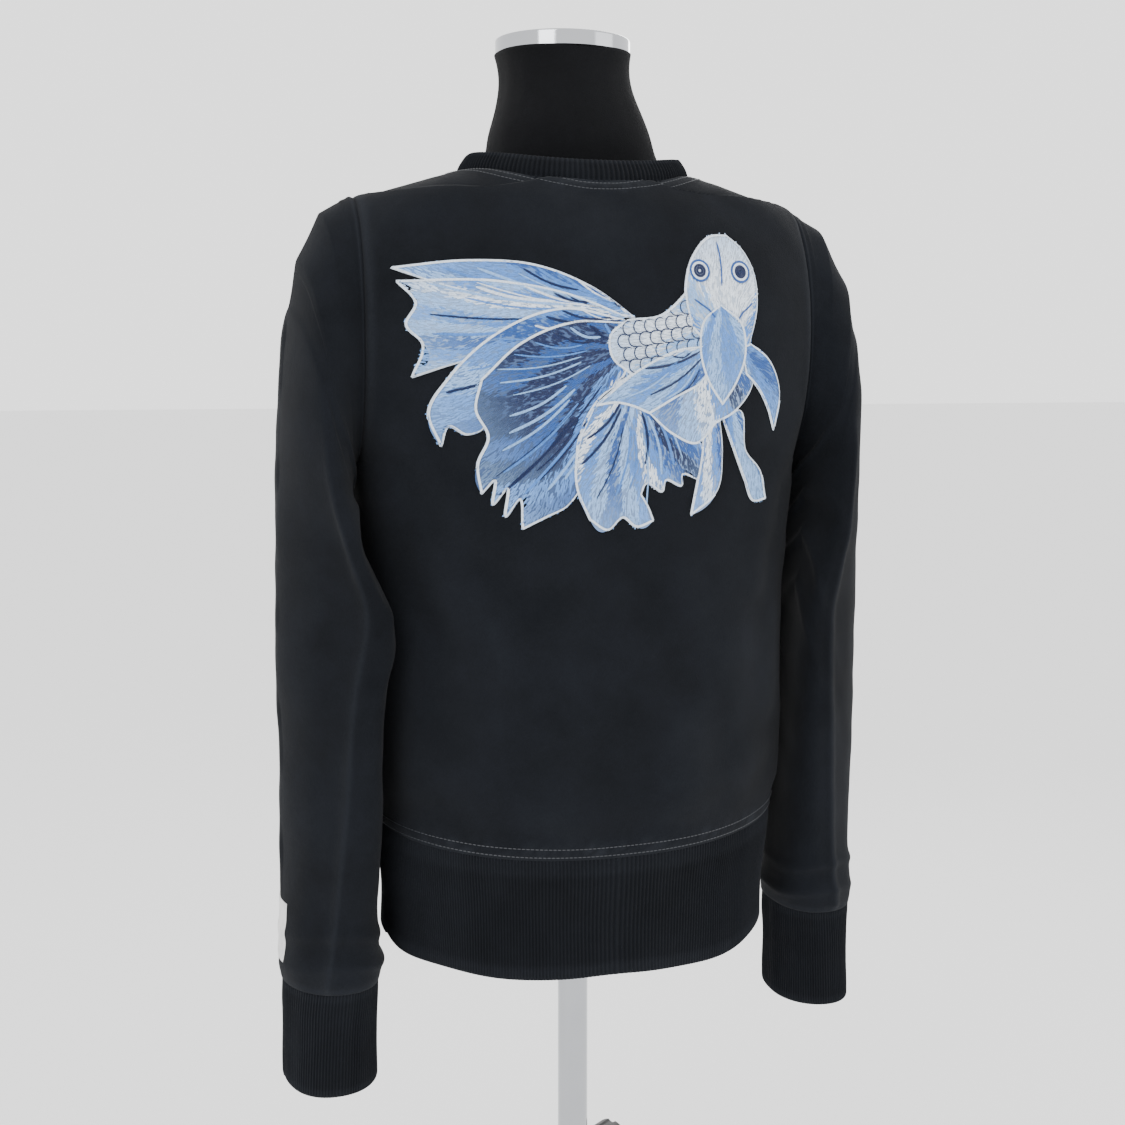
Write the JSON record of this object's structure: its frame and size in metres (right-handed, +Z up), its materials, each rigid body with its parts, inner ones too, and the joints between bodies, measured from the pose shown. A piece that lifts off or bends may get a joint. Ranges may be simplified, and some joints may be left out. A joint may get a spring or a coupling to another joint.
{
  "type": "sweatshirt on display form",
  "caption": "Long-sleeved sweatshirt with a goldfish embroidered across its back, on a torso form that turns and slides on a chrome floor stand.",
  "frame": {"origin": "centre of the stand's underside, on the floor", "axes": "+Z up, +Y the way the wearer would face, so the embroidered back faces -Y; the wearer's left arm is on -X"},
  "size_m": [0.488, 0.32, 1.3475],
  "materials": {
    "rubber_pad": "matte",
    "cast_weight": "matte",
    "chrome": "polished",
    "steel": "satin",
    "nylon": "matte",
    "black_plastic": "satin",
    "painted_socket": "satin",
    "board": "matte",
    "shell_plastic": "matte",
    "jersey": "matte",
    "fleece": "matte",
    "rib": "matte",
    "tape": "matte",
    "label": "satin",
    "thread_white": "satin",
    "thread_sky": "satin",
    "thread_blue": "satin",
    "thread_navy": "satin"
  },
  "bodies": {
    "stand": {"base_pad": "rubber_pad", "base_weight": "cast_weight", "base_cover": "chrome", "foot_ring": "chrome", "base_bolt": "steel", "tube_plug": "steel", "lower_tube": "chrome", "guide_bush": "nylon", "clamp_collar": "chrome"},
    "mast": {"upper_tube": "chrome", "tube_end_cap": "nylon"},
    "form": {"form_socket": "painted_socket", "socket_screws": "steel", "bottom_board": "board", "form_shell": "shell_plastic", "form_jersey": "jersey", "neck_plug": "board", "neck_cap": "chrome", "neck_cap_pin": "steel", "back_panel": "fleece", "front_panel": "fleece", "hem_rib": "rib", "collar_rib": "rib", "neck_tape": "tape", "neck_label": "label", "fish_eye": "thread_navy", "fish_breast_fin": "thread_sky", "fish_head": "thread_white", "fish_left_fin": "thread_sky", "fish_right_fin": "thread_sky", "fish_belly": "thread_white", "fish_flank": "thread_white", "fish_pelvic_fin": "thread_sky", "fish_trailing_fin": "thread_sky", "fish_tail_curl": "thread_white", "fish_tail_heart": "thread_blue", "fish_tail_sickle": "thread_white", "fish_tail_veil": "thread_sky", "fish_tail_crest": "thread_sky"},
    "clamp": {"clamp_knob": "black_plastic", "clamp_screw": "steel"},
    "lock": {"lock_wing": "steel", "lock_screw": "steel"},
    "left_arm": {"left_sleeve": "fleece", "left_cuff": "rib", "sleeve_label": "label"},
    "right_arm": {"right_sleeve": "fleece", "right_cuff": "rib"}
  },
  "joints": [
    {"name": "height_slide", "type": "slide", "parent": "stand", "child": "mast", "axis": [0, 0, 1], "range_m": [-0.1, 0.15]},
    {"name": "form_turn", "type": "hinge", "parent": "mast", "child": "form", "pos_m": [0, 0, 0.7], "axis": [0, 0, 1], "continuous": true},
    {"name": "clamp_turn", "type": "hinge", "parent": "stand", "child": "clamp", "pos_m": [0.0344, 0.02409, 0.412], "axis": [0.8192, 0.5736, 0], "range_deg": [0, 540]},
    {"name": "lock_turn", "type": "hinge", "parent": "form", "child": "lock", "pos_m": [0, 0.03, 0.655], "axis": [0, 1, 0], "range_deg": [0, 540]},
    {"name": "left_sleeve_lift", "type": "hinge", "parent": "form", "child": "left_arm", "pos_m": [-0.1825, -0.002, 1.228], "axis": [0, 1, 0], "range_deg": [0, 75]},
    {"name": "right_sleeve_lift", "type": "hinge", "parent": "form", "child": "right_arm", "pos_m": [0.1825, -0.002, 1.228], "axis": [0, -1, 0], "range_deg": [0, 75]}
  ]
}
